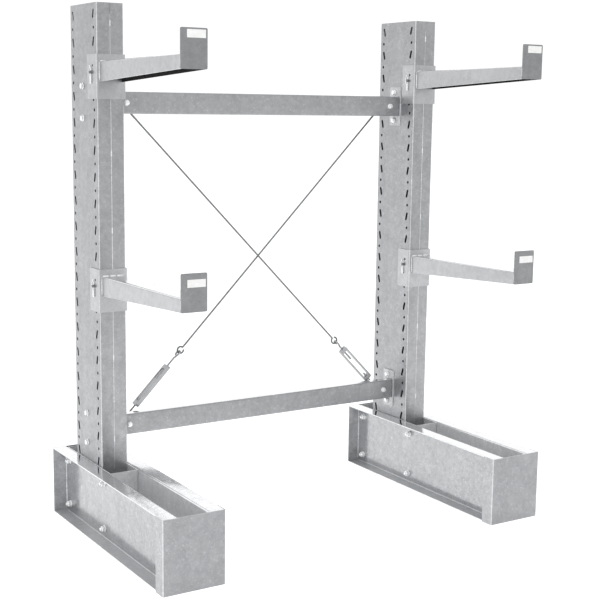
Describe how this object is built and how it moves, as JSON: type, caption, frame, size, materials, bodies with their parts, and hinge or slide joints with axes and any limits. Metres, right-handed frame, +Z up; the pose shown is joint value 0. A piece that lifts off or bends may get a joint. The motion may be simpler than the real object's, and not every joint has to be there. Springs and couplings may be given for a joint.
{
  "type": "cantilever rack",
  "caption": "Free-standing single-sided cantilever rack: braced punched columns on wide bases, with pinned sloping arms for long goods.",
  "frame": {"origin": "on the floor, in the middle of the rack's width and depth", "axes": "+X to the right along the braces seen from the arm side, +Y to the back (the arms reach towards -Y), +Z up"},
  "size_m": [1.5364, 0.9294, 1.828],
  "materials": {
    "galvanised_sheet": "hot-dip galvanised, satin, fine spangle",
    "galvanised_plate": "hot-dip galvanised, duller grey",
    "bright_zinc": "bright zinc plated",
    "zinc_wire": "zinc plated wire and rod"
  },
  "bodies": {
    "frame": {"column_left_outer_channel": "galvanised_sheet", "column_left_inner_channel": "galvanised_sheet", "column_left_shoe": "galvanised_plate", "base_left_outer_channel": "galvanised_sheet", "base_left_inner_channel": "galvanised_sheet", "base_left_front_cap": "galvanised_plate", "base_left_back_plate": "galvanised_plate", "base_left_bolt_front_lower": "bright_zinc", "base_left_bolt_front_upper": "bright_zinc", "base_left_bolt_back_lower": "bright_zinc", "base_left_bolt_back_upper": "bright_zinc", "column_right_outer_channel": "galvanised_sheet", "column_right_inner_channel": "galvanised_sheet", "column_right_shoe": "galvanised_plate", "base_right_outer_channel": "galvanised_sheet", "base_right_inner_channel": "galvanised_sheet", "base_right_front_cap": "galvanised_plate", "base_right_back_plate": "galvanised_plate", "base_right_bolt_front_lower": "bright_zinc", "base_right_bolt_front_upper": "bright_zinc", "base_right_bolt_back_lower": "bright_zinc", "base_right_bolt_back_upper": "bright_zinc", "brace_upper": "galvanised_sheet", "bracket_upper_left": "galvanised_plate", "brace_upper_left_bolt": "bright_zinc", "bracket_upper_right": "galvanised_plate", "brace_upper_right_bolt": "bright_zinc", "brace_lower": "galvanised_sheet", "bracket_lower_left": "galvanised_plate", "brace_lower_left_bolt": "bright_zinc", "bracket_lower_right": "galvanised_plate", "brace_lower_right_bolt": "bright_zinc", "tie_rod_left": "zinc_wire", "turnbuckle_left_eye": "bright_zinc", "tie_rod_right": "zinc_wire", "turnbuckle_right_eye": "bright_zinc"},
    "turnbuckle_left": {"turnbuckle_left_body": "bright_zinc"},
    "hook_left": {"turnbuckle_left_hook": "bright_zinc"},
    "turnbuckle_right": {"turnbuckle_right_body": "bright_zinc"},
    "hook_right": {"turnbuckle_right_hook": "bright_zinc"},
    "arm_upper_left": {"arm_upper_left_collar": "galvanised_plate", "arm_upper_left_beam": "galvanised_sheet", "arm_upper_left_end_plate": "galvanised_plate"},
    "arm_upper_left_pin_turn": {"arm_upper_left_pin": "bright_zinc"},
    "arm_upper_left_spring_clip": {"arm_upper_left_clip": "zinc_wire"},
    "arm_upper_right": {"arm_upper_right_collar": "galvanised_plate", "arm_upper_right_beam": "galvanised_sheet", "arm_upper_right_end_plate": "galvanised_plate"},
    "arm_upper_right_pin_turn": {"arm_upper_right_pin": "bright_zinc"},
    "arm_upper_right_spring_clip": {"arm_upper_right_clip": "zinc_wire"},
    "arm_lower_left": {"arm_lower_left_collar": "galvanised_plate", "arm_lower_left_beam": "galvanised_sheet", "arm_lower_left_end_plate": "galvanised_plate"},
    "arm_lower_left_pin_turn": {"arm_lower_left_pin": "bright_zinc"},
    "arm_lower_left_spring_clip": {"arm_lower_left_clip": "zinc_wire"},
    "arm_lower_right": {"arm_lower_right_collar": "galvanised_plate", "arm_lower_right_beam": "galvanised_sheet", "arm_lower_right_end_plate": "galvanised_plate"},
    "arm_lower_right_pin_turn": {"arm_lower_right_pin": "bright_zinc"},
    "arm_lower_right_spring_clip": {"arm_lower_right_clip": "zinc_wire"}
  },
  "joints": [
    {"name": "arm_upper_left_lift", "type": "slide", "parent": "frame", "child": "arm_upper_left", "axis": [0, -0.2588, 0.9659], "range_m": [0, 0.0215]},
    {"name": "arm_upper_left_pin_spin", "type": "hinge", "parent": "arm_upper_left", "child": "arm_upper_left_pin_turn", "pos_m": [-0.6585, 0.17635, 1.60098], "axis": [1, 0, 0], "continuous": true},
    {"name": "arm_upper_left_clip_pull", "type": "slide", "parent": "arm_upper_left_pin_turn", "child": "arm_upper_left_spring_clip", "axis": [0, 0, -1], "range_m": [0, 0.04]},
    {"name": "arm_upper_right_lift", "type": "slide", "parent": "frame", "child": "arm_upper_right", "axis": [0, -0.2588, 0.9659], "range_m": [0, 0.0215]},
    {"name": "arm_upper_right_pin_spin", "type": "hinge", "parent": "arm_upper_right", "child": "arm_upper_right_pin_turn", "pos_m": [0.6585, 0.17635, 1.60098], "axis": [1, 0, 0], "continuous": true},
    {"name": "arm_upper_right_clip_pull", "type": "slide", "parent": "arm_upper_right_pin_turn", "child": "arm_upper_right_spring_clip", "axis": [0, 0, -1], "range_m": [0, 0.04]},
    {"name": "arm_lower_left_lift", "type": "slide", "parent": "frame", "child": "arm_lower_left", "axis": [0, -0.2588, 0.9659], "range_m": [0, 0.0215]},
    {"name": "arm_lower_left_pin_spin", "type": "hinge", "parent": "arm_lower_left", "child": "arm_lower_left_pin_turn", "pos_m": [-0.6585, 0.17635, 0.88097], "axis": [1, 0, 0], "continuous": true},
    {"name": "arm_lower_left_clip_pull", "type": "slide", "parent": "arm_lower_left_pin_turn", "child": "arm_lower_left_spring_clip", "axis": [0, 0, -1], "range_m": [0, 0.04]},
    {"name": "arm_lower_right_lift", "type": "slide", "parent": "frame", "child": "arm_lower_right", "axis": [0, -0.2588, 0.9659], "range_m": [0, 0.0215]},
    {"name": "arm_lower_right_pin_spin", "type": "hinge", "parent": "arm_lower_right", "child": "arm_lower_right_pin_turn", "pos_m": [0.6585, 0.17635, 0.88097], "axis": [1, 0, 0], "continuous": true},
    {"name": "arm_lower_right_clip_pull", "type": "slide", "parent": "arm_lower_right_pin_turn", "child": "arm_lower_right_spring_clip", "axis": [0, 0, -1], "range_m": [0, 0.04]},
    {"name": "turnbuckle_right_turn", "type": "hinge", "parent": "frame", "child": "turnbuckle_right", "pos_m": [0.45348, 0.284, 0.47076], "axis": [-0.7015, 0, 0.7127], "range_deg": [0, 720]},
    {"name": "turnbuckle_right_hook_travel", "type": "slide", "parent": "frame", "child": "hook_right", "axis": [-0.7015, 0, 0.7127], "range_m": [0, 0.00501]},
    {"name": "turnbuckle_left_turn", "type": "hinge", "parent": "frame", "child": "turnbuckle_left", "pos_m": [-0.44576, 0.297, 0.4786], "axis": [0.7015, 0, 0.7127], "range_deg": [0, 720]},
    {"name": "turnbuckle_left_hook_travel", "type": "slide", "parent": "frame", "child": "hook_left", "axis": [0.7015, 0, 0.7127], "range_m": [0, 0.00501]}
  ],
  "couplings": [
    {"joint": "turnbuckle_right_hook_travel", "follows": "turnbuckle_right_turn", "m_per_rad": 0.00039789},
    {"joint": "turnbuckle_left_hook_travel", "follows": "turnbuckle_left_turn", "m_per_rad": 0.00039789}
  ]
}
